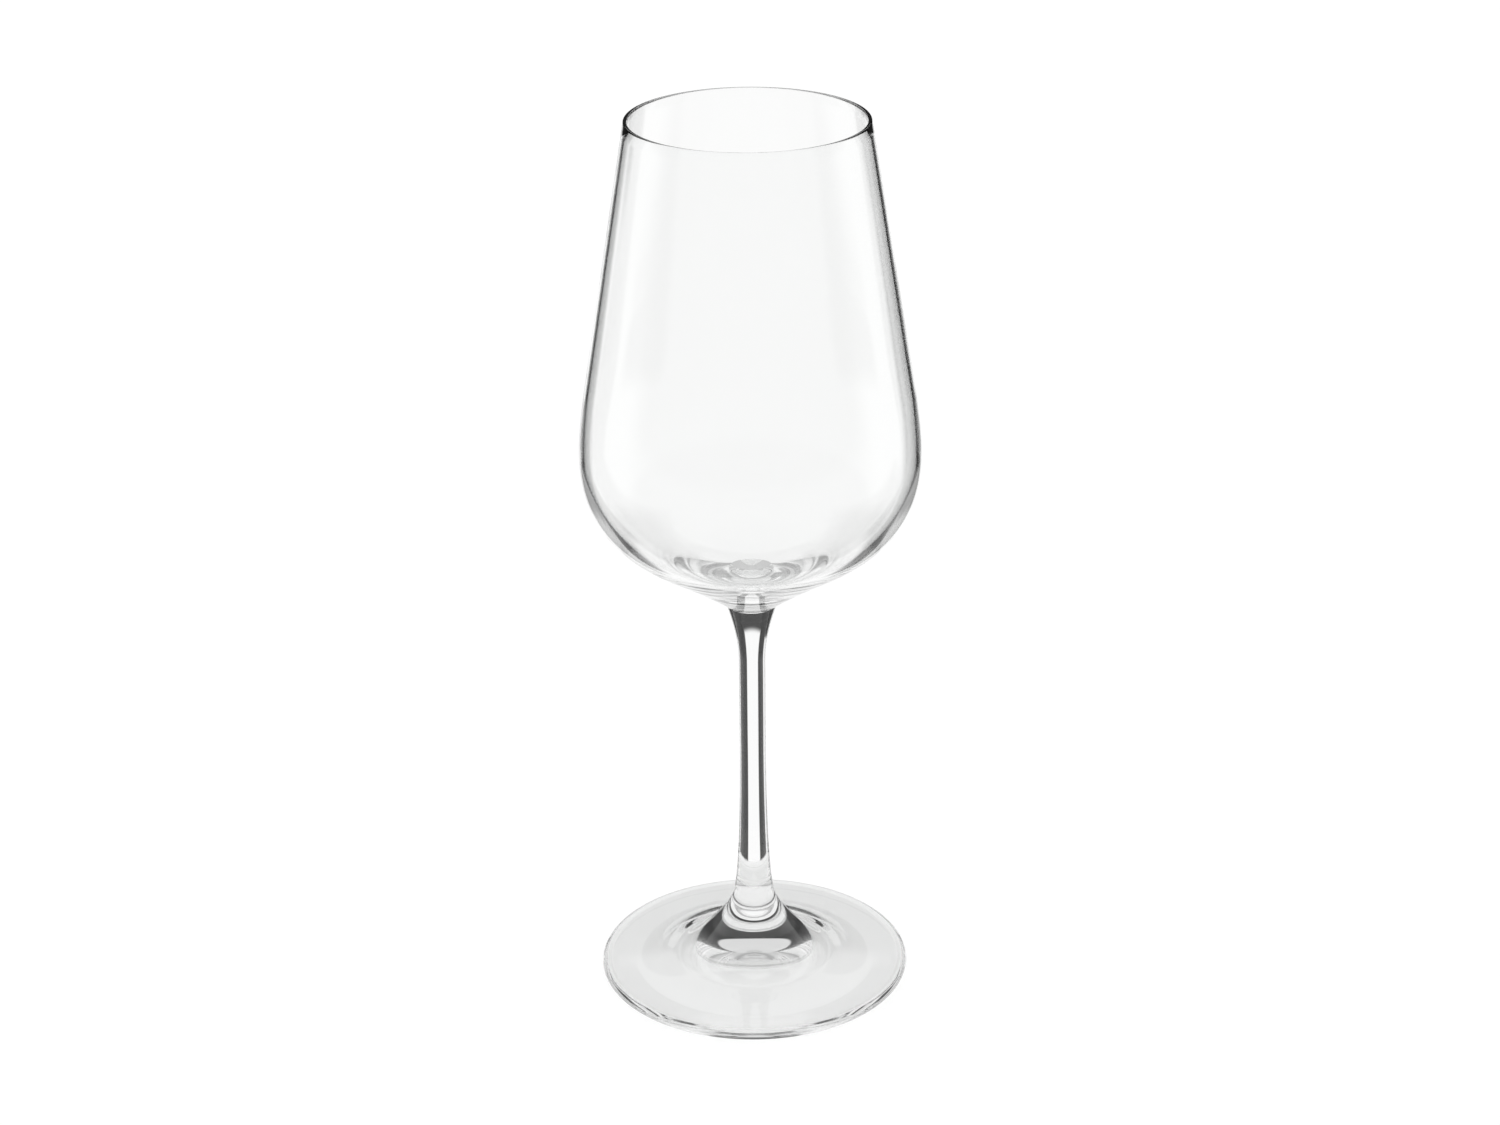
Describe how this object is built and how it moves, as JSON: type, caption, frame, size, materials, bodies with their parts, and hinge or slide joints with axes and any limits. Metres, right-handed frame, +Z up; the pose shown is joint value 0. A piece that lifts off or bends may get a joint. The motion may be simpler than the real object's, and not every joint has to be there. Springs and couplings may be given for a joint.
{
  "type": "wine glass",
  "caption": "Stemmed wine glass: a thin tapered bowl open at the top, a slim drawn stem and a wide round foot.",
  "frame": {"origin": "centre of the foot, on the surface the glass stands on", "axes": "+Z up along the glass's axis towards the rim; +X and +Y level, and alike because the glass is round"},
  "size_m": [0.084, 0.084, 0.228],
  "materials": {
    "clear_glass": "fire-polished, colourless"
  },
  "bodies": {
    "root": {"foot": "clear_glass", "stem": "clear_glass", "bowl": "clear_glass"}
  },
  "joints": []
}
